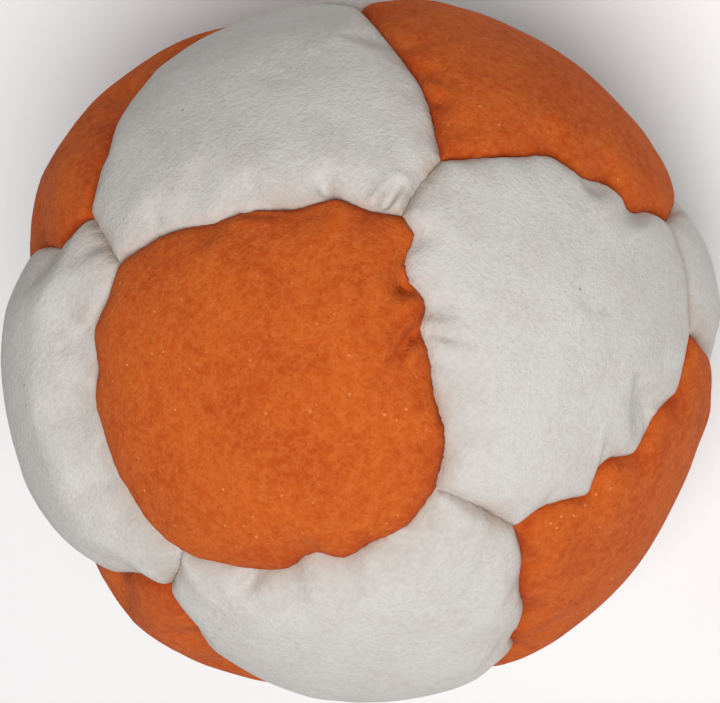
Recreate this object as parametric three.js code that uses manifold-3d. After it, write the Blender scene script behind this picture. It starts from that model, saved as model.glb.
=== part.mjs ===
// A juggling ball: fourteen suede panels, sewn edge to edge with turned-in seams round a filling of
// loose pellets. Six orange panels have four sides and face along the axes. Eight white panels have
// six sides and face between them. Twelve threads hold the seams: each sews one seam between two
// white panels, and runs on along an orange panel's side at either end of it. The ball has settled
// on its bottom panel, so it stands on a small flat. Millimetres, +Z up, origin in the middle of
// that flat.

import * as THREE from "three";
import { mergeVertices } from "three/addons/utils/BufferGeometryUtils.js";
import Module from "manifold-3d";

const wasm = await Module();
wasm.setup();

// ---------- driving dimensions ----------

const BALL_WIDTH = 64; // across the crowns of two opposite side panels
const BASE_WIDTH = 25; // of the flat that the ball stands on
const SETTLED = 0.95; // share of its height that the ball keeps under the weight of the filling

const CORNER_ANGLE = 36.9; // degrees, from the middle of an orange panel to each of its corners
const SIDE_BULGE = 1.6; // how far an orange panel's sides bow out between its corners

const SUEDE = 0.9; // thickness of the panels
const EDGE_ROLL = 2.6; // outer radius of a panel's edge where it turns down into the seam
const SEAM_ALLOWANCE = 3.2; // width of the turned-in strip below that edge

const THREAD = 0.6; // diameter of the sewing thread
const KNOT = 1.2; // diameter of the knot at each end of a thread
const STITCH = 6; // length of one running stitch, give or take the last bit of each seam
const STITCH_DEPTH = 1.6; // from the top of the turned-in strips down to the row of stitches
const THREAD_BEND = 0.5; // how far from a needle hole the thread starts to turn into it

const CLEARANCE = 0.3; // between pieces that lie against each other
const THREAD_CLEARANCE = 0.2; // all round a thread, in its needle holes and along the suede
const PELLET_ROOM = 0.7; // between the pellets and the inner faces of the panels
const ROOT_DEPTH = 0.5; // how far the filling under a panel reaches down inside the core

// ---------- how finely the curved faces are cut ----------

const CROWN_RINGS = 3;
const ROLL_STEPS = 2;
const THREAD_SIDES = 4;
const NEEDLE_SIDES = 4;
const CORE_STEPS = 12;
const SETTLING_TRIES = 6; // to fit a panel's edge to the flat of the base

// ---------- sizes that follow from those ----------

const RADIUS = BALL_WIDTH / 2;
const BASE_DEPTH = Math.sqrt(RADIUS ** 2 - (BASE_WIDTH / 2) ** 2); // of the flat, below the middle
const SEAM_RADIUS = RADIUS - EDGE_ROLL; // where the edges of two panels meet
const STRIP_RADIUS = SEAM_RADIUS - SEAM_ALLOWANCE; // of the inner edge of the turned-in strips
const STITCH_RADIUS = SEAM_RADIUS - STITCH_DEPTH;
const CORE_RADIUS = STRIP_RADIUS - CLEARANCE;
const CORE_FLATS = CORE_RADIUS * Math.cos(Math.PI / CORE_STEPS) ** 2; // middles of its facets
const ROOT_RADIUS = CORE_FLATS - ROOT_DEPTH;
const HALF_GAP = CLEARANCE / 2; // from the middle of a seam to either panel
const STRIP_FACE = HALF_GAP + SUEDE; // from there to the inner face of a turned-in strip
const RUN_SHIFT = STRIP_FACE + THREAD_CLEARANCE + THREAD / 2; // to a thread that runs along it
const KNOT_SHIFT = STRIP_FACE + THREAD_CLEARANCE + KNOT / 2;
const KNOT_INSET = KNOT_SHIFT + KNOT / 2 + THREAD_CLEARANCE; // to just past the knots
const ROLL_INSET = HALF_GAP + EDGE_ROLL; // to where a panel's edge starts to roll down
const PLUG_INSET = Math.max(ROLL_INSET, KNOT_INSET); // to the filling, clear of roll and knots

const COLOURS = { orange: 0xcf5a1e, white: 0xdad5cd, thread: 0xe9e4da, pellets: 0xb9c4cc };
const ROUGHNESS = { orange: 0.95, white: 0.95, thread: 0.7, pellets: 0.4 };

// ---------- directions ----------

const AXES = {
  right: new THREE.Vector3(1, 0, 0),
  left: new THREE.Vector3(-1, 0, 0),
  back: new THREE.Vector3(0, 1, 0),
  front: new THREE.Vector3(0, -1, 0),
  top: new THREE.Vector3(0, 0, 1),
  bottom: new THREE.Vector3(0, 0, -1),
};

// A vector put together from parts: along(a, 2, b, 3) is 2a + 3b.
function along(...terms) {
  const sum = new THREE.Vector3();
  for (let i = 0; i < terms.length; i += 2) {
    sum.addScaledVector(terms[i], terms[i + 1]);
  }
  return sum;
}

// The corner of the orange panel that faces `axis`, on its side towards `other`.
function corner(axis, other) {
  const angle = THREE.MathUtils.degToRad(CORNER_ANGLE);
  return along(axis, Math.cos(angle), other, Math.sin(angle));
}

function isNextTo(axis, other) {
  return Math.abs(axis.dot(other)) < 0.5;
}

// ---------- panels and the seams between them ----------

const panels = new Map();

function addPanel(name, colour, centre) {
  panels.set(name, { name, colour, centre, facets: [], holes: [] });
}

for (const [name, axis] of Object.entries(AXES)) {
  addPanel(`orange_panel_${name}`, "orange", axis);
}
for (const level of ["top", "bottom"]) {
  for (const depth of ["front", "back"]) {
    for (const side of ["left", "right"]) {
      const centre = along(AXES[level], 1, AXES[depth], 1, AXES[side], 1).normalize();
      addPanel(`white_panel_${level}_${depth}_${side}`, "white", centre);
    }
  }
}

// The white panel between three orange ones.
function whiteAt(a, b, c) {
  const towards = along(a, 1, b, 1, c, 1);
  return [...panels.values()].find((p) => p.colour === "white" && p.centre.dot(towards) > 1.7);
}

// A seam is a row of flat facets, one for each stitch, that all stand on the centre of the ball.
// `points` are the directions of the facets' ends, and each facet's `normal` points into the panel
// `inner`.
function makeSeam(points, inner, outer) {
  const facets = points.slice(1).map((to, i) => {
    const from = points[i];
    const normal = from.clone().cross(to).normalize();
    if (normal.dot(inner.centre) < 0) {
      normal.negate();
    }
    inner.facets.push({ ends: [from, to], normal });
    outer.facets.push({ ends: [from, to], normal: normal.clone().negate() });
    return { from, to, normal };
  });
  return { facets, inner, outer };
}

// Directions at equal steps from start to end, which bow out by `bulge` in the middle.
function seamPoints(start, end, steps, outward, bulge) {
  return Array.from({ length: steps + 1 }, (_, i) => {
    const share = i / steps;
    const turn = start.angleTo(end);
    const fromStart = Math.sin(turn * (1 - share)) / Math.sin(turn);
    const fromEnd = Math.sin(turn * share) / Math.sin(turn);
    const bow = (4 * share * (1 - share) * bulge) / SEAM_RADIUS;
    return along(start, fromStart, end, fromEnd, outward, bow).normalize();
  });
}

// The side of the orange panel facing `axis` that starts at its corner towards `other` and goes a
// quarter turn round it. It bows out by SIDE_BULGE.
function orangeSide(name, other) {
  const axis = AXES[name];
  const next = axis.clone().cross(other);
  const start = corner(axis, other);
  const end = corner(axis, next);
  const outward = along(other, 1, next, 1).projectOnPlane(start.clone().add(end)).normalize();
  const stitches = Math.round((start.angleTo(end) * STITCH_RADIUS) / STITCH);
  const points = seamPoints(start, end, stitches, outward, SIDE_BULGE);
  return makeSeam(points, panels.get(`orange_panel_${name}`), whiteAt(axis, other, next));
}

const orangeSides = new Map();
for (const [name, axis] of Object.entries(AXES)) {
  for (const [otherName, other] of Object.entries(AXES)) {
    if (isNextTo(axis, other)) {
      orangeSides.set(`${name}_${otherName}`, orangeSide(name, other));
    }
  }
}

// The seam between the two white panels that part the orange panels facing `a` and `b`. It has an
// odd number of stitches, so that a thread that enters on one side leaves on the other.
function whiteSeam(a, b) {
  const start = corner(a, b);
  const end = corner(b, a);
  const side = a.clone().cross(b);
  const stitches = 2 * Math.floor((start.angleTo(end) * STITCH_RADIUS) / STITCH / 2) + 1;
  const points = seamPoints(start, end, stitches, side, 0);
  const upper = whiteAt(a, b, side);
  const lower = whiteAt(a, b, side.clone().negate());
  return makeSeam(points, upper, lower);
}

// ---------- solids ----------

function toManifold(geometry) {
  const bare = geometry.clone();
  bare.deleteAttribute("normal");
  bare.deleteAttribute("uv");
  const merged = mergeVertices(bare, 1e-3);
  const mesh = new wasm.Mesh({
    numProp: 3,
    vertProperties: merged.attributes.position.array,
    triVerts: new Uint32Array(merged.index.array),
  });
  return new wasm.Manifold(mesh);
}

function toGeometry(solid) {
  const { vertProperties, triVerts } = solid.getMesh();
  const geometry = new THREE.BufferGeometry();
  geometry.setAttribute("position", new THREE.BufferAttribute(vertProperties, 3));
  geometry.setIndex(new THREE.BufferAttribute(triVerts, 1));
  geometry.computeVertexNormals();
  return geometry;
}

// How far out the skin is in a direction: a sphere, cut off by the flat of the base.
function skin(direction) {
  return direction.z < 0 ? Math.min(RADIUS, BASE_DEPTH / -direction.z) : RADIUS;
}

// How far out a ring lies in a direction: at its `radius`, or at its `depth` below the skin.
function ringRadius({ radius, depth }, direction) {
  return radius ?? skin(direction) - depth;
}

// Half the way round between two facets that meet: the shift that moves their shared edge as far
// as a shift of 1 along each normal moves the facets.
function halfway(normal, nextNormal) {
  return along(normal, 1, nextNormal, 1).divideScalar(1 + normal.dot(nextNormal));
}

// The points round a panel where the facets of its seams meet, once round and back to the first,
// each with the shift that carries it inwards.
function rimOf({ centre, facets }) {
  const first = facets[0].normal.clone().projectOnPlane(centre).normalize();
  const second = centre.clone().cross(first);
  const middleOf = ({ ends }) => ends[0].clone().add(ends[1]);
  const turnOf = (p) => Math.atan2(p.dot(second), p.dot(first));
  const ordered = facets.toSorted((a, b) => turnOf(middleOf(a)) - turnOf(middleOf(b)));
  const rim = ordered.map(({ ends, normal }, i) => {
    const next = ordered[(i + 1) % ordered.length];
    const shared = ends.find((end) => next.ends.some((other) => other.angleTo(end) < 1e-4));
    return { direction: shared, into: halfway(normal, next.normal) };
  });
  return [...rim, rim[0]];
}

// The direction of a ring's point by one point of the rim. It is `inset` from the two facets that
// meet there. The radius that this takes is that of the point itself, so it is found by trying.
function insetDirection(ring, { direction, into }) {
  const across = into.clone().multiplyScalar(ring.inset);
  let found = direction;
  for (let i = 0; i < SETTLING_TRIES; i++) {
    const rise = Math.sqrt(ringRadius(ring, found) ** 2 - across.lengthSq());
    found = along(direction, rise, across, 1).normalize();
  }
  return found;
}

// A closed body between the seams of one panel. It starts as a lathe's rings, and each ring is then
// spread to the panel's own outline. A ring with a `share` lies that far along from the panel's
// centre to the outline.
function turnedBody(panel, rings) {
  const rim = rimOf(panel);
  const last = rings.length - 1;
  const profile = rings.map((_, i) => new THREE.Vector2(i === 0 || i === last ? 0 : 1, i));
  const geometry = new THREE.LatheGeometry(profile, rim.length - 1);
  const position = geometry.getAttribute("position");
  for (let i = 0; i < position.count; i++) {
    const ring = rings[i % rings.length];
    const edge = insetDirection(ring, rim[Math.floor(i / rings.length)]);
    const angle = (ring.share ?? 1) * edge.angleTo(panel.centre);
    const side = edge.clone().projectOnPlane(panel.centre).normalize();
    const direction = along(panel.centre, Math.cos(angle), side, Math.sin(angle));
    const { x, y, z } = direction.clone().multiplyScalar(ringRadius(ring, direction));
    position.setXYZ(i, x, y, z);
  }
  return toManifold(geometry);
}

// Rings from the middle of a dome outwards, short of its edge.
function domeRings(height) {
  const ring = { inset: ROLL_INSET, ...height };
  return Array.from({ length: CROWN_RINGS }, (_, i) => ({ ...ring, share: i / CROWN_RINGS }));
}

// Rings down the rolled edge of a panel, on a quarter circle of the given radius.
function rollRings(radius) {
  return Array.from({ length: ROLL_STEPS + 1 }, (_, i) => {
    const turn = (i / ROLL_STEPS) * (Math.PI / 2);
    const inset = ROLL_INSET - radius * Math.sin(turn);
    return { inset, depth: EDGE_ROLL - radius * Math.cos(turn) };
  });
}

// One panel: a domed crown, an edge rolled down into the seam, a turned-in strip and its needle
// holes.
function panelBody(panel) {
  const outside = [...domeRings({ depth: 0 }), ...rollRings(EDGE_ROLL)];
  const inside = [...domeRings({ depth: SUEDE }), ...rollRings(EDGE_ROLL - SUEDE)];
  outside.push({ inset: HALF_GAP, radius: STRIP_RADIUS });
  inside.push({ inset: STRIP_FACE, radius: STRIP_RADIUS });
  const body = turnedBody(panel, [...inside, ...outside.toReversed()]);
  return panel.holes.reduce((left, hole) => left.subtract(hole), body);
}

// The filling under one panel, from just below the panel's inner face down to a foot inside the
// core.
function plugBody(panel) {
  const rings = (height) => [...domeRings(height), { inset: PLUG_INSET, ...height }];
  const foot = rings({ radius: ROOT_RADIUS });
  const top = rings({ depth: SUEDE + PELLET_ROOM });
  return turnedBody(panel, [...foot, ...top.toReversed()]);
}

// The loose pellets as one mass, with channels for the turned-in strips.
function fillingBody() {
  const core = toManifold(new THREE.SphereGeometry(CORE_RADIUS, CORE_STEPS, CORE_STEPS / 2));
  return [...panels.values()].reduce((mass, panel) => mass.add(plugBody(panel)), core);
}

// ---------- stitching ----------

// A point over the middle of a facet: `ahead` of the middle, and `shift` along its normal.
function stitchPoint({ from, to, normal }, ahead, shift) {
  const middle = along(from, 0.5, to, 0.5);
  const run = to.clone().sub(from).normalize();
  return along(middle, STITCH_RADIUS, run, ahead, normal, shift);
}

// A needle hole through both strips of a seam.
function punch(seam, facet) {
  const deep = 2 * STRIP_FACE + CLEARANCE;
  const radius = (THREAD / 2 + THREAD_CLEARANCE) / Math.cos(Math.PI / NEEDLE_SIDES);
  const needle = new THREE.CylinderGeometry(radius, radius, deep, NEEDLE_SIDES);
  const up = new THREE.Vector3(0, 1, 0);
  needle.applyQuaternion(new THREE.Quaternion().setFromUnitVectors(up, facet.normal));
  const { x, y, z } = stitchPoint(facet, 0, 0);
  const hole = toManifold(needle.translate(x, y, z));
  seam.inner.holes.push(hole);
  seam.outer.holes.push(hole);
}

// Running stitches through the first `count` facets of a seam, which cross from the side at `shift`
// to the other side and back. Where two facets meet, the thread bends with them.
function runningStitches(seam, count, shift) {
  return seam.facets.slice(0, count).flatMap((facet, i) => {
    const before = i % 2 ? -shift : shift;
    const bend = Math.sign(before) * THREAD_BEND;
    const next = seam.facets[i + 1];
    punch(seam, facet);
    const points = [
      stitchPoint(facet, -THREAD_BEND, before),
      stitchPoint(facet, 0, before - bend),
      stitchPoint(facet, 0, bend - before),
      stitchPoint(facet, THREAD_BEND, -before),
    ];
    if (next) {
      const turn = halfway(facet.normal, next.normal);
      points.push(along(facet.to, STITCH_RADIUS, turn, -before));
    }
    return points;
  });
}

// The stitches along the side of an orange panel, which begin in the white panel at its start. The
// last facet takes the knot.
function stitchedSide(side) {
  const count = side.facets.length - 1;
  const end = count % 2 ? KNOT_SHIFT : -KNOT_SHIFT;
  return [...runningStitches(side, count, -RUN_SHIFT), stitchPoint(side.facets.at(-1), 0, end)];
}

// Where a thread turns the corner from the start of an orange panel's side into a white seam,
// inside the white panel that the two share. `into` is the white seam's normal towards that panel.
function turnCorner({ facets: [facet] }, into) {
  const turn = halfway(facet.normal.clone().negate(), into);
  return along(facet.from, STITCH_RADIUS, turn, RUN_SHIFT);
}

// A line of straight pieces as a curve, on which every step of an extrusion falls on a bend.
class Polyline extends THREE.Curve {
  constructor(points) {
    super();
    this.points = points;
  }

  getPointAt(share) {
    return this.points[Math.round(share * (this.points.length - 1))].clone();
  }

  getTangentAt(share) {
    const i = Math.round(share * (this.points.length - 1));
    const here = this.points[i];
    const arriving = here.clone().sub(this.points[Math.max(i - 1, 0)]).normalize();
    const leaving = this.points[Math.min(i + 1, this.points.length - 1)].clone().sub(here).normalize();
    return arriving.add(leaving).normalize();
  }
}

function threadBody(points) {
  const section = Array.from({ length: THREAD_SIDES }, (_, i) => {
    const turn = (2 * Math.PI * i) / THREAD_SIDES;
    return new THREE.Vector2(Math.cos(turn), Math.sin(turn)).multiplyScalar(THREAD / 2);
  });
  const strand = new THREE.ExtrudeGeometry(new THREE.Shape(section), {
    steps: points.length - 1,
    extrudePath: new Polyline(points),
  });
  const knots = [points[0], points.at(-1)].map(({ x, y, z }) =>
    toManifold(new THREE.IcosahedronGeometry(KNOT / 2, 0).translate(x, y, z)),
  );
  return knots.reduce((body, knot) => body.add(knot), toManifold(strand));
}

// The thread of the seam between two white panels, from the knot at the far end of one orange
// panel's side to the knot at the far end of the other's.
function seamThread(name, otherName) {
  const seam = whiteSeam(AXES[name], AXES[otherName]);
  const first = orangeSides.get(`${name}_${otherName}`);
  const second = orangeSides.get(`${otherName}_${name}`);
  return [
    ...stitchedSide(first).toReversed(),
    turnCorner(first, seam.facets[0].normal),
    ...runningStitches(seam, seam.facets.length, RUN_SHIFT),
    turnCorner(second, seam.facets.at(-1).normal.clone().negate()),
    ...stitchedSide(second),
  ];
}

// ---------- the assembly ----------

const ball = new THREE.Group();

function addPiece(name, colour, solid) {
  const material = new THREE.MeshStandardMaterial({
    color: COLOURS[colour],
    roughness: ROUGHNESS[colour],
    metalness: 0,
  });
  const mesh = new THREE.Mesh(toGeometry(solid), material);
  mesh.name = name;
  ball.add(mesh);
}

// Every seam and its needle holes are made before any panel.
const threads = new Map();
const axisNames = Object.keys(AXES);
for (const [i, name] of axisNames.entries()) {
  for (const otherName of axisNames.slice(i + 1)) {
    if (isNextTo(AXES[name], AXES[otherName])) {
      threads.set(`seam_thread_${otherName}_${name}`, seamThread(name, otherName));
    }
  }
}
for (const panel of panels.values()) {
  addPiece(panel.name, panel.colour, panelBody(panel));
}
for (const [name, points] of threads) {
  addPiece(name, "thread", threadBody(points));
}
addPiece("pellet_filling", "pellets", fillingBody());

ball.scale.z = SETTLED;
ball.position.z = BASE_DEPTH * SETTLED;

export default ball;
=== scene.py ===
"""A hand-sewn juggling ball in two colours of suede, on a pale floor.

Six orange panels with four sides and eight white panels with six sides are sewn edge to edge, with
their seam allowances turned in, round a filling of loose pellets. The ball has settled on its bottom
panel. Panels, seams and stitches are worked out in millimetres round the middle of the round ball,
and `settle` then flattens the base, presses the ball down and puts it in place.
"""

import math
import random

import bpy
import numpy as np
from mathutils import Matrix, Vector, noise


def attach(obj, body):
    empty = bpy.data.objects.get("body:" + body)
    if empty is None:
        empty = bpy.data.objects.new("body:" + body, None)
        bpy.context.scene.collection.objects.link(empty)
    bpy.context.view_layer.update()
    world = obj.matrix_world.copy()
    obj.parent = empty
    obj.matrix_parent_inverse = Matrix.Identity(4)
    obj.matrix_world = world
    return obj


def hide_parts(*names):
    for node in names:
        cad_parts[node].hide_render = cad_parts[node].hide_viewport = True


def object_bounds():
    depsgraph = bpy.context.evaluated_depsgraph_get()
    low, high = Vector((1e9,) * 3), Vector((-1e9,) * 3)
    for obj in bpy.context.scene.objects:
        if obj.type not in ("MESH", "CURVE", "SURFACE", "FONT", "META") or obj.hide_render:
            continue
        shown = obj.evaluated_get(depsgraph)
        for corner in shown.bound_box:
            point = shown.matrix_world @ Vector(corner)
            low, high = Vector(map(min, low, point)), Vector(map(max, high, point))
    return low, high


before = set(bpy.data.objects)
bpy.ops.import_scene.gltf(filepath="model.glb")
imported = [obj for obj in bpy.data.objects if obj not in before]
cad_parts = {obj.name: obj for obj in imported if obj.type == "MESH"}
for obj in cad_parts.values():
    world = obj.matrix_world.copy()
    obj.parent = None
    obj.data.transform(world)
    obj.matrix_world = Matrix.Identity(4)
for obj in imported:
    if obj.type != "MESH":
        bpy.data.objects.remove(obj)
cad_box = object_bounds()

MM = 0.001
WANDER = random.Random(14)  # where the strays of the sewing and of the pellets all come from

# ---------- sizes of the ball, which follow the frame ----------

SETTLED = 0.95  # share of its height that the ball keeps under its own weight
RADIUS = (cad_box[1].x - cad_box[0].x) / 2 / MM
BASE_DEPTH = cad_box[1].z / MM / SETTLED - RADIUS  # of the flat, below the middle of the ball
SEAM_DEPTH = 1.5
SEAM_RADIUS = RADIUS - SEAM_DEPTH
SEAM_ALLOWANCE = 3.2
SUEDE = 0.9  # thickness of the panels
SEAM_GAP = 0.03  # between the turned-in strips of two panels
CORNER_ANGLE = math.radians(36.9)
SIDE_BULGE = 1.6

# How far the sewing strays either way, where its line isn't given below.
CORNER_WANDER = 0.8
SIDE_WANDER = 0.45
SHORT_SEAM_WANDER = 0.4
RAGGED = 0.06  # and how far the napped edge of every panel does

# ---------- how the stuffed panels swell ----------

ROLL_HEIGHT = 0.8  # how far a panel's edge stands up beside the seam
ROLL_WIDTH = 0.5
SWELL = 0.5  # how much further out the middle of a panel is, before the cloth swells
SWELL_REACH = 5.0  # how far from a seam most of the rest of the swell is reached
GATHER_HEIGHT = 0.35
GATHER_REACH = 2.6
GATHER_START = 0.5  # how far from a seam the gathers are at their full height
GATHER_CROWDING = 5.6  # the higher, the more gathers fit round a panel
BASE_SOFTNESS = 0.3  # how gently a panel turns over on to the flat of the base
SETTLED_TO = np.array((-0.7, 0.1, 0.3))  # where the weight of the pellets has pushed the cover
PUSH_REACH = 7  # how far from a seam the pellets push the cover all the way
LUMP_HEIGHT = 0.3
LUMP_SIZE = 11
LUMP_REACH = 4  # how far from a seam the lumps are at their full height

# ---------- the thread and the pellets ----------

THREAD = 0.5  # diameter of the sewing thread
STITCH_RADIUS = SEAM_RADIUS - 1.6  # of the row of stitches through the turned-in strips
STITCH_SIDE = SEAM_GAP / 2 + SUEDE + THREAD / 2  # from a seam to the thread beside it
LONG_STITCHES = 9
SHORT_STITCHES = 3  # an odd number, so that the thread leaves a short seam on its other side
POINTS_PER_STITCH = 9
STITCH_STEEPNESS = 3.2  # the higher, the more sharply a stitch crosses the seam
STITCH_END = 0.9  # from a corner to the end of a row of stitches
KNOT_ROOM = 3.0  # from a corner to a knot
KNOT = 1.2

PELLET = 3.4  # across
PELLET_SPACING = 4.1
PELLET_SHAKE = 0.15
PACKING_STEPS = 14  # rows of pellets on either side of the middle, before the cover limits them

# How near to the cover the middle of a pellet may lie.
COVER_ROOM = 0.75 * PELLET  # from the inside of a panel
EDGE_ROOM = 0.6 * PELLET  # from the inner edge of the turned-in strips, and from the base
STRIP_ROOM = 3.9  # from a seam, beside its strips

# ---------- how finely the panels are cut ----------

COLUMNS = 96  # along a long seam, and so along each side of the blank
SHORT_COLUMNS = COLUMNS // 3
STRIP_RINGS = 3

# ---------- the suede as cloth ----------

CLOTH_COLUMNS = 32  # of the coarser blank that is run as cloth
CLOTH_FRAMES = 20
CLOTH_MASS = 0.00001
CLOTH_STIFFNESS = 15
CLOTH_BENDING = 120
CLOTH_PRESSURE = 200
CLOTH_EXCESS = 0.028  # how much more suede there is in a panel than its seams span
CLOTH_CAP = 1.6  # how far the cloth may move a point

# ---------- where the sewing has pulled the seams ----------

AXES = {
    "right": np.array((1.0, 0.0, 0.0)),
    "left": np.array((-1.0, 0.0, 0.0)),
    "back": np.array((0.0, 1.0, 0.0)),
    "front": np.array((0.0, -1.0, 0.0)),
    "top": np.array((0.0, 0.0, 1.0)),
    "bottom": np.array((0.0, 0.0, -1.0)),
}

# How far the sewing has pulled a corner aside, in millimetres.
PULLED_CORNERS = {
    ("top", "back"): (1.0, -1.0, 0.5),
    ("top", "right"): (0.5, -1.0, -0.5),
    ("top", "front"): (1.5, 2.0, 1.5),
    ("top", "left"): (1.5, -0.5, 1.0),
    ("back", "top"): (1.5, -1.5, 2.0),
    ("right", "top"): (-1.0, -0.5, 1.0),
    ("front", "top"): (1.0, 1.5, 2.0),
    ("left", "top"): (3.0, -0.5, 3.5),
    ("left", "front"): (0.0, 2.0, 0.0),
    ("right", "front"): (1.0, 1.5, 0.5),
    ("front", "right"): (0.5, 0.5, 2.0),
    ("right", "back"): (1.5, -2.0, 2.0),
}

# How an orange panel's side runs from its corner towards `other` to the next corner round: shares
# of the way along, each with how far the side bows out there.
SHAPED_SIDES = {
    ("top", "back"): [
        (0.1, 1.0), (0.2, 3.0), (0.3, 3.0), (0.45, 3.6), (0.6, 3.3), (0.7, 3.1), (0.85, 1.8),
    ],
    ("top", "left"): [
        (0.1, 0.8), (0.22, 1.9), (0.4, 2.8), (0.52, 1.9), (0.6, 3.1), (0.72, 2.5), (0.85, 2.2),
    ],
    ("top", "front"): [
        (0.2, 1.1), (0.35, 0.5), (0.5, 0.4), (0.58, 0.0), (0.67, 0.7), (0.77, -0.4), (0.84, -0.4),
        (0.92, 0.7),
    ],
    ("top", "right"): [
        (0.1, 0.5), (0.2, 1.7), (0.33, 1.2), (0.5, 1.6), (0.63, 1.2), (0.75, 1.4), (0.85, 1.1),
    ],
    ("right", "back"): [(0.1, 0.2), (0.25, 0.3), (0.5, 0.0), (0.7, -0.5), (0.9, -0.2)],
    ("right", "top"): [
        (0.1, -0.3), (0.25, -0.8), (0.4, -1.4), (0.52, -0.3), (0.65, -0.2), (0.76, 1.2), (0.88, 0.2),
    ],
    ("right", "front"): [(0.1, 1.4), (0.2, 2.4), (0.3, 3.0), (0.5, 2.8), (0.7, 2.0), (0.85, 1.0)],
    ("front", "right"): [
        (0.1, -0.6), (0.2, -2.0), (0.33, -1.3), (0.5, -2.1), (0.61, -0.2), (0.66, -0.3), (0.72, -1.7),
        (0.8, -0.7), (0.88, 0.1),
    ],
    ("front", "top"): [
        (0.1, -0.5), (0.25, -0.2), (0.4, -0.8), (0.5, -0.3), (0.57, -0.2), (0.65, -0.9), (0.75, -0.2),
        (0.88, 0.4),
    ],
    ("front", "bottom"): [(0.15, 1.0), (0.4, 1.6), (0.6, 1.6), (0.75, 1.5), (0.9, 0.8)],
    ("back", "left"): [(0.2, -0.8), (0.4, -2.2), (0.55, -2.2), (0.7, -0.5), (0.8, 0.8), (0.9, 0.5)],
    ("back", "top"): [(0.12, -0.3), (0.25, -0.9), (0.38, -2.2), (0.5, -2.6), (0.75, -1.6)],
    ("left", "top"): [(0.1, 0.3), (0.2, -0.3), (0.3, -1.3), (0.5, -1.3), (0.75, -0.6)],
    ("left", "front"): [(0.3, -1.8), (0.55, -2.6), (0.7, -2.2), (0.85, -0.7)],
}

# How a short seam between two white panels bows towards the side that it turns round to.
SHAPED_SHORT_SEAMS = {
    ("top", "right"): [(0.5, 0.3)],
    ("top", "front"): [(0.5, -0.3)],
}

# How much fuller or slacker than usual a panel is, in millimetres at its middle.
FULLNESS = {
    "orange_suede_back": 1.0,
    "orange_suede_right": 0.4,
    "orange_suede_front": -0.6,
    "white_suede_top_back_left": 0.7,
    "white_suede_top_back_right": -0.4,
    "white_suede_top_front_left": -0.4,
    "white_suede_bottom_front_right": 0.8,
}

# Folds in a panel: from where to where, how deep and how wide, in millimetres from the middle of
# the ball. Each is deepest where it starts.
FOLDS = {
    "white_suede_top_front_right": [
        ((12.7, -8.5, 27.6), (13.5, -10.4, 26.5), 0.7, 0.5),
        ((13.4, -10.2, 26.6), (14.0, -12.6, 25.3), 0.35, 0.45),
        ((27.1, -15.0, 6.0), (25.6, -14.8, 11.0), 0.5, 0.9),
        ((27.4, -11.4, 10.6), (26.1, -11.1, 13.8), 0.35, 0.9),
        ((19.3, -1.0, 24.8), (18.4, -3.4, 25.4), 0.5, 0.6),
    ],
    "orange_suede_top": [
        ((12.6, -8.1, 27.7), (9.7, -7.7, 29.0), 1.2, 0.5),
        ((10.4, -8.0, 28.7), (8.0, -8.2, 29.4), 0.35, 0.6),
        ((15.1, -5.0, 27.2), (13.3, -4.6, 28.2), 0.8, 0.7),
        ((15.1, -5.0, 27.2), (17.5, -3.4, 25.9), 0.6, 0.9),
        ((12.1, 9.9, 27.3), (13.5, 7.6, 27.4), 0.5, 0.5),
        ((16.0, 4.5, 26.7), (14.5, 4.3, 27.6), 0.35, 0.8),
    ],
    "white_suede_top_back_right": [
        ((18.3, 0.6, 25.6), (20.8, 0.8, 23.7), 1.6, 0.5),
        ((17.2, 4.9, 25.9), (17.6, 6.5, 25.3), 1.1, 0.5),
        ((15.9, 6.9, 26.3), (18.0, 8.5, 24.6), 0.4, 1.5),
    ],
    "white_suede_top_front_left": [
        ((-13.4, -7.6, 27.4), (-16.4, -6.7, 26.0), 0.8, 0.6),
        ((-0.9, -17.4, 26.3), (-5.6, -17.0, 25.9), 0.8, 2.0),
        ((-10.7, -26.7, 12.8), (-9.6, -24.9, 16.8), 0.3, 1.2),
    ],
    "white_suede_top_back_left": [
        ((1.4, 20.5, 23.9), (-0.7, 21.1, 23.4), 0.45, 0.8),
        ((-1.1, 15.8, 27.2), (-2.9, 16.6, 26.6), 0.3, 0.9),
    ],
    "orange_suede_right": [
        ((27.2, 8.6, 13.5), (27.6, 7.0, 13.6), 0.9, 0.7),
        ((26.8, 4.6, 15.9), (27.0, 2.5, 16.0), 0.9, 0.7),
    ],
    "orange_suede_front": [
        ((7.4, -26.4, 15.6), (6.0, -28.4, 12.2), 0.4, 1.0),
    ],
}
FOLDS_RADIUS = 31.5
FOLD_FADE = 0.75  # share of its depth that a fold loses on the way to its end
FOLD_LIP = 0.45  # height of the swollen lips beside a fold, as a share of its depth
FOLD_LIP_ASIDE = 1.9  # how far aside the lips are, in widths of the fold
FOLD_IN_SEAM = 0.25  # share of its depth that a fold has in the seam itself
FOLD_OPENING = 0.9  # how far from the seam it is at its full depth

# ---------- seams ----------


def unit(vector):
    return vector / np.linalg.norm(vector, axis=-1, keepdims=True)


def name_of(axis):
    return next(name for name, direction in AXES.items() if direction @ axis > 0.9)


def next_round(name, other):
    """The axis a quarter turn round `name` from `other`."""
    return name_of(np.cross(AXES[name], AXES[other]))


def neighbours(name):
    """The four axes round `name`, in order."""
    found = [next(other for other in AXES if abs(AXES[name] @ AXES[other]) < 0.5)]
    while len(found) < 4:
        found.append(next_round(name, found[-1]))
    return found


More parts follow.
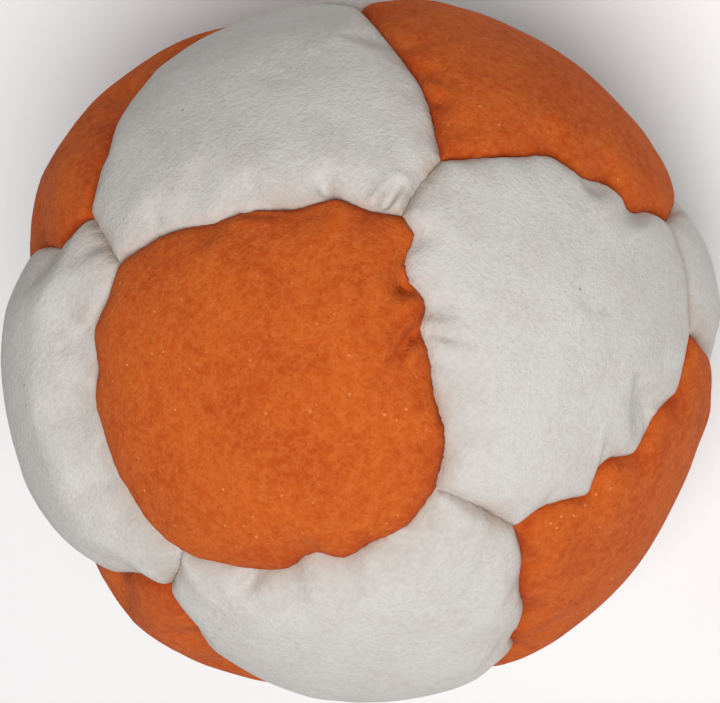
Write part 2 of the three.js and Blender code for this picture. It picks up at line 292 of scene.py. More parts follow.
def place_corners():
    corners = {}
    for name in AXES:
        for other in neighbours(name):
            plain = math.cos(CORNER_ANGLE) * AXES[name] + math.sin(CORNER_ANGLE) * AXES[other]
            aside = [WANDER.uniform(-CORNER_WANDER, CORNER_WANDER) for _ in range(3)]
            pull = np.array(PULLED_CORNERS.get((name, other), aside))
            corners[name, other] = unit(plain * SEAM_RADIUS + pull)
    return corners


def flowing(points, shares):
    """The height at each share of the smooth line through (share, height) points."""
    at, height = np.array([(0.0, 0.0), *points, (1.0, 0.0)]).T
    slope = np.gradient(height, at)
    i = np.clip(np.searchsorted(at, shares) - 1, 0, len(at) - 2)
    step = at[i + 1] - at[i]
    t = (shares - at[i]) / step
    start = height[i] * (1 + 2 * t) * (1 - t) ** 2 + height[i + 1] * t * t * (3 - 2 * t)
    return start + step * t * (1 - t) * (slope[i] * (1 - t) - slope[i + 1] * t)


def run_seam(start, end, outward, shape, columns):
    """Directions along a seam from start to end, bowed `outward` by its shape in millimetres."""
    shares = np.linspace(0, 1, columns + 1)
    turn = math.acos(start @ end)
    from_start = np.sin(turn * (1 - shares)) / math.sin(turn)
    from_end = np.sin(turn * shares) / math.sin(turn)
    ragged = [0, *(WANDER.uniform(-RAGGED, RAGGED) for _ in range(columns - 1)), 0]
    bow = (flowing(shape, shares) + ragged) / SEAM_RADIUS
    return unit(np.outer(from_start, start) + np.outer(from_end, end) + np.outer(bow, outward))


def usual_side():
    """A side that bows out as sewn, and wanders a little between its stitches."""
    shape = []
    for share in (0.12, 0.25, 0.38, 0.5, 0.62, 0.75, 0.88):
        bulge = 4 * share * (1 - share) * SIDE_BULGE
        shape.append((share, bulge + WANDER.uniform(-SIDE_WANDER, SIDE_WANDER)))
    return shape


def long_seam(corners, name, other):
    following = next_round(name, other)
    start = corners[name, other]
    end = corners[name, following]
    outward = unit(np.cross(end, start))
    usual = usual_side()
    shape = SHAPED_SIDES.get((name, other), usual)
    return run_seam(start, end, outward, shape, COLUMNS)


def short_seam(corners, name, other):
    start = corners[name, other]
    end = corners[other, name]
    outward = unit(np.cross(start, end))
    usual = [(0.5, WANDER.uniform(-SHORT_SEAM_WANDER, SHORT_SEAM_WANDER))]
    shape = SHAPED_SHORT_SEAMS.get((name, other), usual)
    return run_seam(start, end, outward, shape, SHORT_COLUMNS)


def sew_seams():
    """Every seam, by the two names that it is sewn between: (orange panel, corner) for a long seam,
    and both orange panels that a short one runs between."""
    corners = place_corners()
    long_seams = {key: long_seam(corners, *key) for key in corners}
    short_seams = {}
    for name, other in corners:
        if (other, name) in short_seams:
            short_seams[name, other] = short_seams[other, name][::-1]
        else:
            short_seams[name, other] = short_seam(corners, name, other)
    return long_seams, short_seams


LONG_SEAMS, SHORT_SEAMS = sew_seams()


def orange_rim(name):
    """Directions round an orange panel, against the clock as seen from outside."""
    return np.concatenate([LONG_SEAMS[name, other][:-1] for other in neighbours(name)])


def white_rim(names):
    """Directions round the white panel between three orange ones, against the clock."""
    first, second, third = names
    if next_round(first, second) != third:
        second, third = third, second
    parts = []
    for name, other in ((first, second), (second, third), (third, first)):
        parts.append(LONG_SEAMS[name, other][::-1][:-1])
        parts.append(SHORT_SEAMS[name, other][:-1])
    return np.concatenate(parts)


# ---------- the skin of a panel ----------


def from_seams(directions, rim):
    """How far each direction is from the nearest seam of its panel, in millimetres."""
    start = rim * SEAM_RADIUS
    step = np.roll(start, -1, axis=0) - start
    nearest = np.full(len(directions), 1e9)
    points = directions * SEAM_RADIUS
    for a, ab in zip(start, step):
        share = np.clip((points - a) @ ab / (ab @ ab), 0, 1)
        gap = points - a - share[:, None] * ab
        nearest = np.minimum(nearest, np.einsum("ij,ij->i", gap, gap))
    return np.sqrt(nearest)


def eased(share):
    share = np.clip(share, 0, 1)
    return share * share * (3 - 2 * share)


def ripple(points, size, seed):
    """Smooth bumps of about the given size in millimetres, from -1 to 1."""
    shift = Vector((seed * 7.3, seed * 3.1, seed * 5.7))
    return np.array([noise.noise(Vector(point) / size + shift) for point in points])


def swell(directions, distance, fullness=0.0, seed=0):
    """How far out the skin is in each direction, by its distance from the seams."""
    roll = ROLL_HEIGHT * (1 - np.exp(-distance / ROLL_WIDTH))
    crown = SWELL * (1 - np.exp(-distance / SWELL_REACH))
    pushed = (directions @ SETTLED_TO + fullness) * eased(distance / PUSH_REACH)
    lumps = LUMP_HEIGHT * ripple(directions * RADIUS, LUMP_SIZE, seed) * eased(distance / LUMP_REACH)
    return SEAM_RADIUS + roll + crown + pushed + lumps


def gather(distance, around, seed):
    """Shallow gathers that run in from the stitches along a panel's edge."""
    turn = around / (4 * COLUMNS) * 2 * math.pi
    loop = np.stack([np.cos(turn), np.sin(turn), 0 * turn], axis=1) * GATHER_CROWDING
    row = ripple(loop, 1.0, seed)
    reach = np.exp(-distance / GATHER_REACH) * eased(distance / GATHER_START)
    return GATHER_HEIGHT * row * reach


def fold(directions, folds):
    """The depth of the folds in each direction: each is a groove from its start to its end, with a
    swollen lip on either side."""
    points = directions * FOLDS_RADIUS
    depth = np.zeros(len(points))
    for start, end, deep, wide in folds:
        start = np.array(start, float)
        run = np.array(end, float) - start
        share = np.clip((points - start) @ run / (run @ run), 0, 1)
        aside = np.linalg.norm(points - start - share[:, None] * run, axis=1) / wide
        groove = np.exp(-aside * aside) - FOLD_LIP * np.exp(-((aside - FOLD_LIP_ASIDE) ** 2))
        depth += deep * groove * (1 - FOLD_FADE * share)
    return depth


def settle(points):
    """Points of the round ball, flattened on the base, pressed down and put in place in metres."""
    x, y, z = points.T
    above = z + BASE_DEPTH
    above = (above + np.sqrt(above * above + BASE_SOFTNESS**2)) / 2
    return np.stack([x, y, above * SETTLED], axis=1) * MM


# ---------- modelling ----------


def deselect():
    if bpy.context.object and bpy.context.object.mode != "OBJECT":
        bpy.ops.object.mode_set(mode="OBJECT")
    bpy.ops.object.select_all(action="DESELECT")


def pick(piece):
    deselect()
    piece.select_set(True)
    bpy.context.view_layer.objects.active = piece


def apply_modifiers(piece):
    pick(piece)
    for modifier in list(piece.modifiers):
        bpy.ops.object.modifier_apply(modifier=modifier.name)


def get_points(mesh):
    points = np.zeros(len(mesh.vertices) * 3)
    mesh.vertices.foreach_get("co", points)
    return points.reshape(-1, 3)


def set_points(mesh, points):
    mesh.vertices.foreach_set("co", np.asarray(points, float).ravel())
    mesh.update()


def cut_blank(columns, strip_rings):
    """A square blank with its edge turned down in rings: the plain shape that every panel is
    stretched from. Its flat is 2 across, and each ring of the turned-in strip is 1 lower."""
    deselect()
    bpy.ops.mesh.primitive_grid_add(x_subdivisions=columns, y_subdivisions=columns, size=2)
    blank = bpy.context.object
    bpy.ops.object.mode_set(mode="EDIT")
    bpy.ops.mesh.select_mode(type="EDGE")
    bpy.ops.mesh.select_all(action="DESELECT")
    bpy.ops.mesh.select_non_manifold()
    for _ in range(strip_rings):
        bpy.ops.mesh.extrude_edges_move(TRANSFORM_OT_translate={"value": (0, 0, -1)})
    bpy.ops.object.mode_set(mode="OBJECT")
    return blank


def crowd_the_edge(blank):
    """Moves the rings of the blank out towards its edge, so that rolled edges are finely cut."""
    flat = get_points(blank.data)
    reach = np.maximum(abs(flat[:, 0]), abs(flat[:, 1]))
    scale = np.sin(reach * math.pi / 2) / np.maximum(reach, 1e-9)
    flat[:, :2] *= scale[:, None]
    set_points(blank.data, flat)


def round_the_blank(flat):
    """For points of the blank: how far each is from the middle to the edge, and how many columns
    round the edge from its first corner."""
    u, v, _ = flat.T
    reach = np.maximum(np.maximum(abs(u), abs(v)), 1e-9)
    right = u >= reach - 1e-6
    top = (v >= reach - 1e-6) & ~right
    left = (u <= 1e-6 - reach) & ~right & ~top
    turns = np.select([right, top, left], [v, -u, -v], u) / reach
    first = np.select([right, top, left], [0, 1, 2], 3)
    # The first corner of the blank is also the end of its last side.
    around = (first + (turns + 1) / 2) * COLUMNS
    return np.minimum(reach, 1), np.mod(around, 4 * COLUMNS)


def plan_panels():
    """Every panel: its name, its slot, its CAD node, its seams and the direction of its middle."""
    plans = []
    for name, axis in AXES.items():
        node = f"orange_panel_{name}"
        plans.append((f"orange_suede_{name}", "orange_suede", node, orange_rim(name), axis))
    for level in ("top", "bottom"):
        for depth in ("front", "back"):
            for side in ("left", "right"):
                place = f"{level}_{depth}_{side}"
                rim = white_rim((level, depth, side))
                middle = unit(AXES[level] + AXES[depth] + AXES[side])
                node = f"white_panel_{place}"
                plans.append((f"white_suede_{place}", "white_suede", node, rim, middle))
    return plans


def lay_over(flat, rim, centre):
    """The direction of each point of the blank once it is laid over its panel, and how many columns
    round the rim it is."""
    reach, around = round_the_blank(flat)
    lower = np.floor(around).astype(int) % len(rim)
    between = (around - np.floor(around))[:, None]
    edge = unit(rim[lower] * (1 - between) + rim[(lower + 1) % len(rim)] * between)
    turn = np.arccos(np.clip(edge @ centre, -1, 1))
    side = unit(edge - np.outer(edge @ centre, centre))
    short_of_seam = SEAM_GAP / 2 / SEAM_RADIUS
    angle = reach * (turn - short_of_seam)
    return np.outer(np.cos(angle), centre) + side * np.sin(angle)[:, None], around


def stretch_panel(blank, name, rim, centre, seed, creased=True):
    """A panel stretched from the blank to its seams, swollen by the filling, with its edges turned
    in. It keeps how far each point is from the seams, for the painted seam shade in its finish."""
    panel = blank.copy()
    panel.data = blank.data.copy()
    panel.name = name
    bpy.context.collection.objects.link(panel)
    flat = get_points(panel.data)
    directions, around = lay_over(flat, rim, centre)
    distance = from_seams(directions, rim)
    radius = swell(directions, distance, FULLNESS.get(name, 0.0), seed)
    if creased:
        radius += gather(distance, around, seed)
        opened = FOLD_IN_SEAM + (1 - FOLD_IN_SEAM) * eased(distance / FOLD_OPENING)
        radius -= fold(directions, FOLDS.get(name, [])) * opened
    strip = np.round(-flat[:, 2])
    radius = np.where(strip > 0, SEAM_RADIUS - strip / STRIP_RINGS * SEAM_ALLOWANCE, radius)
    set_points(panel.data, settle(directions * radius[:, None]))
    note = panel.data.attributes.new("from_seam", "FLOAT", "POINT")
    note.data.foreach_set("value", distance)
    return panel


def give_thickness(panel):
    suede = panel.modifiers.new("suede", "SOLIDIFY")
    suede.thickness = SUEDE * MM
    suede.offset = -1
    suede.use_quality_normals = True
    apply_modifiers(panel)
    bpy.ops.object.shade_smooth()


# ---------- how the suede gives under the filling ----------


def add_cloth(panel, stitched):
    """Holds the panel along its stitches, and lets the rest of its suede swell."""
    group = panel.vertex_groups.new(name="stitched")
    group.add(stitched, 1.0, "REPLACE")
    cloth = panel.modifiers.new("cloth", "CLOTH")
    cloth.collision_settings.use_collision = False
    suede = cloth.settings
    suede.quality = 8
    suede.mass = CLOTH_MASS
    suede.tension_stiffness = CLOTH_STIFFNESS
    suede.compression_stiffness = CLOTH_STIFFNESS
    suede.bending_stiffness = CLOTH_BENDING
    suede.vertex_group_mass = group.name
    suede.shrink_min = -CLOTH_EXCESS
    suede.use_pressure = True
    suede.uniform_pressure_force = CLOTH_PRESSURE
    suede.effector_weights.gravity = 0


def swell_as_cloth(plans):
    """Runs coarse copies of all the panels as cloth, and gives how far their points moved."""
    blank = cut_blank(CLOTH_COLUMNS, 0)
    flat = get_points(blank.data)
    stitched = np.nonzero(np.max(abs(flat[:, :2]), axis=1) > 0.999)[0].tolist()
    panels = [stretch_panel(blank, name, rim, middle, seed, creased=False)
              for seed, (name, _, _, rim, middle) in enumerate(plans)]
    before = [get_points(panel.data) for panel in panels]
    for panel in panels:
        add_cloth(panel, stitched)
    for number in range(1, CLOTH_FRAMES + 1):
        bpy.context.scene.frame_set(number)
    moves = []
    for panel, start in zip(panels, before):
        apply_modifiers(panel)
        move = get_points(panel.data) - start
        length = np.linalg.norm(move, axis=1, keepdims=True)
        moves.append(move * np.minimum(1, CLOTH_CAP * MM / np.maximum(length, 1e-9)))
    for piece in [blank, *panels]:
        bpy.data.objects.remove(piece)
    bpy.context.scene.frame_set(1)
    return moves


def spline_weights(share):
    """How much each of four points in a row counts at a share of the way from the second on."""
    rest = 1 - share
    return (
        rest**3 / 6,
        (3 * share**3 - 6 * share**2 + 4) / 6,
        (3 * rest**3 - 6 * rest**2 + 4) / 6,
        share**3 / 6,
    )


def carry_moves(panel, flat, moves):
    """Moves the points of a fine panel as the cloth moved, smoothly between its coarse points."""
    rows = CLOTH_COLUMNS + 1
    grid = np.pad(moves.reshape(rows, rows, 3), ((1, 1), (1, 1), (0, 0)), "reflect", reflect_type="odd")
    at = (np.clip(flat[:, :2], -1, 1) + 1) / 2 * CLOTH_COLUMNS
    cell = np.minimum(np.floor(at).astype(int), CLOTH_COLUMNS - 1)
    across, along = (at - cell).T
    total = np.zeros((len(flat), 3))
    for i, first in enumerate(spline_weights(along)):
        for j, second in enumerate(spline_weights(across)):
            total += (first * second)[:, None] * grid[cell[:, 1] + i, cell[:, 0] + j]
    points = get_points(panel.data) + total
    points[:, 2] = np.maximum(points[:, 2], 0)
    set_points(panel.data, points)


# ---------- finishes ----------


def new_group(name, inputs, outputs):
    """A node group with named inputs, each with its kind and value, and named outputs."""
    group = bpy.data.node_groups.new(name, "ShaderNodeTree")
    for socket, (kind, value) in inputs.items():
        made = group.interface.new_socket(socket, in_out="INPUT", socket_type=kind)
        if value is not None:
            made.default_value = value
    for socket, kind in outputs.items():
        group.interface.new_socket(socket, in_out="OUTPUT", socket_type=kind)
    return group, group.nodes.new("NodeGroupInput"), group.nodes.new("NodeGroupOutput")


def add_node(tree, kind, settings=None, **links):
    """A node with its settings, and with values or other nodes' outputs in its inputs."""
    node = tree.nodes.new(kind)
    for setting, value in (settings or {}).items():
        setattr(node, setting, value)
    for socket, value in links.items():
        by_number = socket[1:].isdigit()
        target = node.inputs[int(socket[1:]) if by_number else socket.replace("_", " ")]
        if isinstance(value, bpy.types.NodeSocket):
            tree.links.new(value, target)
        else:
            target.default_value = value
    return node


def calculate(tree, operation, first, second=0.0):
    settings = {"operation": operation}
    return add_node(tree, "ShaderNodeMath", settings, _0=first, _1=second).outputs[0]


def blend_colours(tree, share, first, second):
    settings = {"data_type": "RGBA"}
    node = add_node(tree, "ShaderNodeMix", settings, _0=share, _6=first, _7=second)
    return node.outputs[2]


def cloudy(tree, vector, size_mm, detail=2.0, roughness=0.5, distortion=0.0):
    """Soft noise from 0 to 1 whose patches are about that many millimetres across."""
    node = add_node(tree, "ShaderNodeTexNoise", {}, Vector=vector, Scale=1000 / size_mm, Detail=detail,
                    Roughness=roughness, Distortion=distortion)
    return node.outputs["Fac"]


def remap(tree, value, low, high, to_low=0.0, to_high=1.0):
    node = add_node(tree, "ShaderNodeMapRange", {"interpolation_type": "SMOOTHSTEP"},
                    _0=value, _1=low, _2=high, _3=to_low, _4=to_high)
    return node.outputs[0]


def mottling_group():
    """Patches of napped suede that lie a little differently: broad ones, and fine ones in them."""
    group, given, made = new_group("mottling", {"Vector": ("NodeSocketVector", None)},
                                   {"Broad": "NodeSocketFloat", "Fine": "NodeSocketFloat"})
    vector = given.outputs["Vector"]
    broad = cloudy(group, vector, 5.0, 3.0, 0.6, 0.6)
    fine = cloudy(group, vector, 0.8, 4.0, 0.8)
    group.links.new(remap(group, broad, 0.36, 0.64), made.inputs["Broad"])
    group.links.new(remap(group, fine, 0.36, 0.64), made.inputs["Fine"])
    return group


def nap_group():
    """The raised fibres of suede: short tufts and streaks that turn from patch to patch. `Height`
    is how far they stand up, and `Pits` is 1 in the low gaps between them, where painted shade goes."""
    group, given, made = new_group("suede nap", {"Vector": ("NodeSocketVector", None)},
                                   {"Height": "NodeSocketFloat", "Pits": "NodeSocketFloat"})
    vector = given.outputs["Vector"]
    streaks = []
    for turn in ((0.3, 0.9, 0.2), (1.4, 0.2, 1.1)):
        laid = add_node(group, "ShaderNodeMapping", {}, Vector=vector, Rotation=turn,
                        Scale=(1.0, 0.6, 1.0))
        streaks.append(cloudy(group, laid.outputs[0], 0.2, 2.0, 0.6, 0.8))
    pile = calculate(group, "MAXIMUM", streaks[0], streaks[1])
    tufts = cloudy(group, vector, 0.42, 3.0, 0.7)
    raised = calculate(group, "MULTIPLY", pile, 0.3)
    height = calculate(group, "ADD", raised, calculate(group, "MULTIPLY", tufts, 0.7))
    group.links.new(height, made.inputs["Height"])
    group.links.new(remap(group, height, 0.5, 0.42), made.inputs["Pits"])
    return group


def specks_group():
    """Small specks, such as lint or dust, in a few of the cells of a scattered pattern."""
    inputs = {
        "Vector": ("NodeSocketVector", None),
        "Spacing": ("NodeSocketFloat", 300.0),
        "Share": ("NodeSocketFloat", 0.3),
        "Size": ("NodeSocketFloat", 0.15),
    }
    group, given, made = new_group("specks", inputs, {"Mask": "NodeSocketFloat"})
    wobble = cloudy(group, given.outputs["Vector"], 0.5, 2.0)
    cells = add_node(group, "ShaderNodeTexVoronoi", {}, Vector=given.outputs["Vector"],
                     Scale=given.outputs["Spacing"])
    uneven = calculate(group, "ADD", wobble, 0.5)
    away = calculate(group, "MULTIPLY", cells.outputs["Distance"], uneven)
    inside = calculate(group, "LESS_THAN", away, given.outputs["Size"])
    luck = add_node(group, "ShaderNodeSeparateColor", {}, Color=cells.outputs["Color"])
    chosen = calculate(group, "LESS_THAN", luck.outputs[0], given.outputs["Share"])
    group.links.new(calculate(group, "MULTIPLY", inside, chosen), made.inputs["Mask"])
    return group


def seam_shade_group():
    """1 in the seams and fading to 0 over `Reach` millimetres: where the seams are painted darker as
    shade, with a little dirt, and where white suede is painted warm with light thrown from the orange
    beside it.
    """
    group, given, made = new_group("seam shade", {"Reach": ("NodeSocketFloat", 1.0)},
                                   {"Shade": "NodeSocketFloat"})
    distance = add_node(group, "ShaderNodeAttribute", {"attribute_name": "from_seam"}).outputs["Fac"]
    reaches = calculate(group, "DIVIDE", distance, given.outputs["Reach"])
    power = calculate(group, "MULTIPLY", reaches, -1.0)
    group.links.new(calculate(group, "EXPONENT", power), made.inputs["Shade"])
    return group


MOTTLING = mottling_group()
NAP = nap_group()
SPECKS = specks_group()
SEAM_SHADE = seam_shade_group()


def use_group(tree, group, **values):
    return add_node(tree, "ShaderNodeGroup", {"node_tree": group}, **values)


def new_material(name):
    material = bpy.data.materials.new(name)
    material.use_nodes = True
    return material, material.node_tree, material.node_tree.nodes["Principled BSDF"]


def tint(tree, colour, mask, strength, tinted):
    """The colour, blended towards another where the mask is 1."""
    return blend_colours(tree, calculate(tree, "MULTIPLY", mask, strength), colour, tinted)


def finish_suede(name, deep, plain, light, pit_shade, lint, dust, seam_shade_and_dirt, seam_reach, nap_height):
    """Napped suede. `deep`, `plain` and `light` are the dye where the nap lies differently."""
    material, tree, shader = new_material(name)
    place = add_node(tree, "ShaderNodeTexCoord").outputs["Object"]
    mottling = use_group(tree, MOTTLING, Vector=place)
    nap = use_group(tree, NAP, Vector=place)
    lint_mask = use_group(tree, SPECKS, Vector=place, Spacing=900.0, Share=0.55, Size=0.11)
    dust_mask = use_group(tree, SPECKS, Vector=place, Spacing=430.0, Share=0.07, Size=0.07)
    shade = use_group(tree, SEAM_SHADE, Reach=seam_reach)
    patchy = remap(tree, mottling.outputs["Broad"], 0.0, 1.0, 1.0, 0.4)
    uneven_shade = calculate(tree, "MULTIPLY", shade.outputs["Shade"], patchy)
    colour = blend_colours(tree, mottling.outputs["Broad"], deep, plain)
    colour = tint(tree, colour, mottling.outputs["Fine"], 0.6, light)
    # Painted shade in the low gaps between the tufts of the nap.
    colour = tint(tree, colour, nap.outputs["Pits"], 0.4, pit_shade)
    caught = calculate(tree, "MULTIPLY", lint_mask.outputs["Mask"], mottling.outputs["Broad"])
    colour = tint(tree, colour, caught, 0.45, lint)
    colour = tint(tree, colour, dust_mask.outputs["Mask"], 0.75, dust)
    # Painted shade along the seams, with a little dirt in it. On white suede the tan is also painted
    # light thrown from the orange panel beside.
    colour = tint(tree, colour, uneven_shade, 0.7, seam_shade_and_dirt)
    tree.links.new(colour, shader.inputs["Base Color"])
    bump = add_node(tree, "ShaderNodeBump", {}, Strength=1.0, Distance=nap_height * MM,
                    Height=nap.outputs["Height"])
    tree.links.new(bump.outputs["Normal"], shader.inputs["Normal"])
    shader.inputs["Roughness"].default_value = 0.95
    shader.inputs["Specular IOR Level"].default_value = 0.1
    shader.inputs["Sheen Weight"].default_value = 0.02
    shader.inputs["Sheen Roughness"].default_value = 0.6
    return material


def orange_suede():
    return finish_suede(
        "orange suede",
        deep=(0.50, 0.073, 0.009, 1),
        plain=(0.59, 0.105, 0.012, 1),
        light=(0.69, 0.165, 0.031, 1),
        pit_shade=(0.43, 0.062, 0.009, 1),
        lint=(0.95, 0.42, 0.18, 1),
        dust=(0.28, 0.05, 0.015, 1),
        # painted seam shade with a little dirt: a deeper red-brown
        seam_shade_and_dirt=(0.40, 0.045, 0.008, 1),
        seam_reach=0.9,
        nap_height=0.25,
    )


def white_suede():
    return finish_suede(
        "white suede",
        deep=(0.59, 0.555, 0.52, 1),
        plain=(0.635, 0.61, 0.58, 1),
        light=(0.69, 0.67, 0.645, 1),
        pit_shade=(0.55, 0.515, 0.48, 1),
        lint=(0.62, 0.46, 0.35, 1),
        dust=(0.22, 0.2, 0.18, 1),
        # painted seam shade and painted light from the orange beside, with a little dirt: a tan
        seam_shade_and_dirt=(0.47, 0.345, 0.26, 1),
        seam_reach=1.3,
        nap_height=0.2,
    )


def twisted_thread():
    """Waxed cotton thread: soft bands of its twist, painted darker in the grooves between its plies as
    shade, and stray fibres.
    """
    material, tree, shader = new_material("sewing thread")
    place = add_node(tree, "ShaderNodeTexCoord").outputs["Object"]
    twist = add_node(tree, "ShaderNodeTexWave", {"bands_direction": "DIAGONAL"}, Vector=place,
                     Scale=900.0, Distortion=3.0, Detail=2.0).outputs["Fac"]
    fibre = use_group(tree, NAP, Vector=place).outputs["Height"]
    # Painted shade in the grooves of the twist and painted light on its ridges, following the same
    # bands as the bump.
    colour = blend_colours(tree, twist, (0.62, 0.58, 0.5, 1), (0.8, 0.77, 0.7, 1))
    tree.links.new(colour, shader.inputs["Base Color"])
    height = calculate(tree, "ADD", twist, fibre)
    bump = add_node(tree, "ShaderNodeBump", {}, Strength=0.6, Distance=0.06 * MM, Height=height)
    tree.links.new(bump.outputs["Normal"], shader.inputs["Normal"])
    shader.inputs["Roughness"].default_value = 0.65
    return material


def pellet_plastic():
    """Recycled plastic pellets, each batch a little cloudier in places."""
    material, tree, shader = new_material("pellet plastic")
    place = add_node(tree, "ShaderNodeTexCoord").outputs["Object"]
    mottling = use_group(tree, MOTTLING, Vector=place)
    colour = blend_colours(tree, mottling.outputs["Broad"],
                           (0.42, 0.5, 0.54, 1), (0.56, 0.62, 0.64, 1))
    tree.links.new(colour, shader.inputs["Base Color"])
    rough = remap(tree, mottling.outputs["Fine"], 0.0, 1.0, 0.3, 0.5)
    tree.links.new(rough, shader.inputs["Roughness"])
    return material


def plain_floor():
    material, _, shader = new_material("pale floor")
    shader.inputs["Base Color"].default_value = (0.93, 0.93, 0.93, 1)
    shader.inputs["Roughness"].default_value = 0.9
    return material


# ---------- the pieces ----------


def keep_piece(piece, slot, *nodes):
    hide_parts(*nodes)
    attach(piece, "root")


def sew_panels():
    plans = plan_panels()
    blank = cut_blank(COLUMNS, STRIP_RINGS)
    crowd_the_edge(blank)
    flat = get_points(blank.data)
    moves = swell_as_cloth(plans)
    finishes = {"orange_suede": orange_suede(), "white_suede": white_suede()}
    panels = []
    for seed, (name, slot, node, rim, middle) in enumerate(plans):
        panel = stretch_panel(blank, name, rim, middle, seed)
        if moves:
            carry_moves(panel, flat, moves[seed])
        give_thickness(panel)
        panel.data.materials.append(finishes[slot])
        keep_piece(panel, slot, node)
        panels.append(panel)
    bpy.data.objects.remove(blank)
    return panels


def lay_stitches(seam, into, stitches, room_at_end=STITCH_END):
    """Points of a thread along a seam. It starts on the side of the panel `into`, and each stitch
    takes it through both strips to the other side."""
    length = np.linalg.norm(seam[-1] - seam[0]) * STITCH_RADIUS
    count = stitches * POINTS_PER_STITCH + 1
    shares = np.linspace(STITCH_END / length, 1 - room_at_end / length, count)
    at = shares * (len(seam) - 1)
    lower = np.minimum(np.floor(at).astype(int), len(seam) - 2)
    between = (at - lower)[:, None]
    line = unit(seam[lower] * (1 - between) + seam[lower + 1] * between)
    side = unit(np.cross(line, np.gradient(line, axis=0)))
    side *= np.sign(side @ into)[:, None]
    phase = np.sin(shares * stitches * math.pi + math.pi / 2)
    crossing = np.clip(phase * STITCH_STEEPNESS, -1, 1)
    return line * STITCH_RADIUS + side * (crossing * STITCH_SIDE)[:, None]


def tie_knot(point):
    bpy.ops.mesh.primitive_ico_sphere_add(subdivisions=2, radius=KNOT / 2 * MM, location=point)
    knot = bpy.context.object
    bpy.ops.object.transform_apply(location=True)
    middle = Vector(point)
    for vertex in knot.data.vertices:
        bump = noise.noise((vertex.co - middle) * 1500)
        vertex.co = middle + (vertex.co - middle) * (1 + 0.25 * bump)
    return knot


def sew_thread(name, other, material):
    """The thread of a short seam, which runs on along a long seam at either end of it."""
    side = AXES[next_round(name, other)]
    upper = unit(AXES[name] + AXES[other] + side)
    lower = unit(AXES[name] + AXES[other] - side)
    first = lay_stitches(LONG_SEAMS[name, other], upper, LONG_STITCHES, KNOT_ROOM)
    middle = lay_stitches(SHORT_SEAMS[name, other], upper, SHORT_STITCHES)
    second = lay_stitches(LONG_SEAMS[other, name], lower, LONG_STITCHES, KNOT_ROOM)
    points = settle(np.concatenate([first[::-1], middle, second]))
    curve = bpy.data.curves.new("thread", "CURVE")
    curve.dimensions = "3D"
    curve.bevel_depth = THREAD / 2 * MM
    curve.bevel_resolution = 1
    curve.use_fill_caps = True
    spline = curve.splines.new("POLY")
    spline.points.add(len(points) - 1)
    for spot, point in zip(spline.points, points):
        spot.co = (*point, 1.0)
    thread = bpy.data.objects.new(f"thread_{other}_{name}", curve)
    bpy.context.collection.objects.link(thread)
    pick(thread)
    bpy.ops.object.convert(target="MESH")
    knots = [tie_knot(points[0]), tie_knot(points[-1])]
    pick(thread)
    for knot in knots:
        knot.select_set(True)
    bpy.ops.object.join()
    bpy.ops.object.shade_smooth()
    thread.data.materials.append(material)
    keep_piece(thread, "sewing_thread", f"seam_thread_{other}_{name}")


def sew_threads():
    material = twisted_thread()
    names = list(AXES)
    for i, name in enumerate(names):
        for other in names[i + 1:]:
            if other in neighbours(name):
                sew_thread(name, other, material)


def mould_pellet():
    """One pellet: a short round bead with its rims rounded off."""
    deselect()
    bpy.ops.mesh.primitive_cylinder_add(vertices=8, radius=PELLET / 2, depth=PELLET * 0.8)
    pellet = bpy.context.object
    rounding = pellet.modifiers.new("rounding", "BEVEL")
    rounding.width = 0.5
    rounding.segments = 1
    apply_modifiers(pellet)
    return pellet


def pellet_places():
    """Middles of the pellets: a close packing, shaken a little, kept clear of the cover."""
    steps = range(-PACKING_STEPS, PACKING_STEPS + 1)
    packed = [(i, j, k) for i in steps for j in steps for k in steps if (i + j + k) % 2 == 0]
    places = np.array(packed, float) * PELLET_SPACING / math.sqrt(2)
    shake = [[WANDER.uniform(-PELLET_SHAKE, PELLET_SHAKE) for _ in range(3)] for _ in packed]
    places += np.array(shake)
    reach = np.linalg.norm(places, axis=1)
    # The one in the very middle has no direction, and is left out.
    places = places[(reach > 0.5) & (reach < RADIUS)]
    directions = unit(places)
    seams = np.concatenate([*LONG_SEAMS.values(), *SHORT_SEAMS.values()])[::3]
    off_seam = np.arccos(np.clip(directions @ seams.T, -1, 1)).min(axis=1) * SEAM_RADIUS
    inside = swell(directions, off_seam) - SUEDE - COVER_ROOM
    below_strips = SEAM_RADIUS - SEAM_ALLOWANCE - EDGE_ROOM
    limit = np.where(off_seam > STRIP_ROOM, inside, below_strips)
    reach = np.linalg.norm(places, axis=1)
    above_base = places[:, 2] > SUEDE + EDGE_ROOM - BASE_DEPTH
    return places[(reach < limit) & above_base]


def pour_pellets():
    """Every pellet is a copy of the same one, turned its own way, and they settle as one piece."""
    pellets = mould_pellet()
    shape = pellets.data
    copies = []
    for place in pellet_places():
        lie = Vector([WANDER.uniform(-1, 1) for _ in range(3)])
        turn = lie.to_track_quat("Z", "Y").to_matrix().to_4x4()
        mesh = shape.copy()
        mesh.transform(Matrix.Translation(place) @ turn)
        copies.append(mesh)
    pellets.data = copies.pop(0)
    pellets.name = "pellets"
    pick(pellets)
    for mesh in copies:
        copy = bpy.data.objects.new("pellet", mesh)
        bpy.context.collection.objects.link(copy)
        copy.select_set(True)
    bpy.ops.object.join()
    set_points(pellets.data, settle(get_points(pellets.data)))
    bpy.ops.object.shade_smooth_by_angle(angle=math.radians(50))
    pellets.data.materials.append(pellet_plastic())
    keep_piece(pellets, "pellets", "pellet_filling")
    return pellets


panels = sew_panels()
sew_threads()
pellets = pour_pellets()


# ---------- the stage ----------

FLOOR = 6  # metres along a side

CAMERA_BACK = Vector((0.315, -0.178, 0.932))
CAMERA_RIGHT = Vector((0.505, -0.800, -0.323))
CAMERA_DISTANCE = 353  # from the middle of the ball, in millimetres
CAMERA_ASIDE = (-0.55, -0.5)  # to the right and up
CAMERA_LENS = 193.5

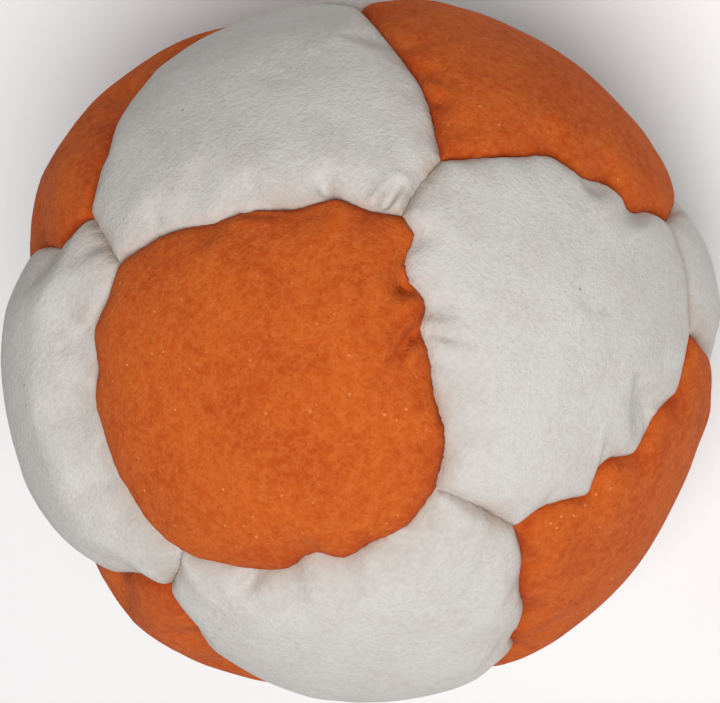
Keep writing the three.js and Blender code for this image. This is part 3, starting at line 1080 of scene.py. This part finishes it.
SOFTBOX_TOWARDS = Vector((0.035, -0.305, 0.948))
SOFTBOX_AIM = Vector((0, 0, 0.03))  # the place in the ball that it faces, in metres
SOFTBOX_DISTANCE = 0.7  # from there, in metres
SOFTBOX_SIZE = 0.45
SOFTBOX_POWER = 4.3
BACKDROP_STRENGTH = 0.28


def lay_floor():
    deselect()
    bpy.ops.mesh.primitive_plane_add(size=FLOOR)
    floor = bpy.context.object
    floor.name = "floor"
    floor.data.materials.append(plain_floor())


def set_camera():
    """Looks down on the ball from its front right, nearly from above, and a little rolled."""
    back = CAMERA_BACK.normalized()
    right = (CAMERA_RIGHT - back * CAMERA_RIGHT.dot(back)).normalized()
    up = back.cross(right)
    middle = Vector((0, 0, BASE_DEPTH * SETTLED))
    eye = middle + CAMERA_DISTANCE * back + CAMERA_ASIDE[0] * right + CAMERA_ASIDE[1] * up
    data = bpy.data.cameras.new("camera")
    data.sensor_width = 36
    data.lens = CAMERA_LENS
    data.clip_start = 0.01
    camera = bpy.data.objects.new("camera", data)
    bpy.context.collection.objects.link(camera)
    turn = Matrix((right, up, back)).transposed()
    camera.matrix_world = Matrix.Translation(eye * MM) @ turn.to_4x4()
    bpy.context.scene.camera = camera


def light_stage():
    towards = SOFTBOX_TOWARDS.normalized()
    data = bpy.data.lights.new("softbox", "AREA")
    data.shape = "DISK"
    data.size = SOFTBOX_SIZE
    data.energy = SOFTBOX_POWER
    softbox = bpy.data.objects.new("softbox", data)
    bpy.context.collection.objects.link(softbox)
    softbox.location = SOFTBOX_AIM + towards * SOFTBOX_DISTANCE
    softbox.rotation_euler = towards.to_track_quat("Z", "Y").to_euler()
    world = bpy.data.worlds.new("studio")
    world.use_nodes = True
    backdrop = world.node_tree.nodes["Background"]
    backdrop.inputs["Color"].default_value = (1.0, 1.0, 1.0, 1)
    backdrop.inputs["Strength"].default_value = BACKDROP_STRENGTH
    bpy.context.scene.world = world
    bpy.context.scene.view_settings.view_transform = "Standard"


lay_floor()
set_camera()
light_stage()
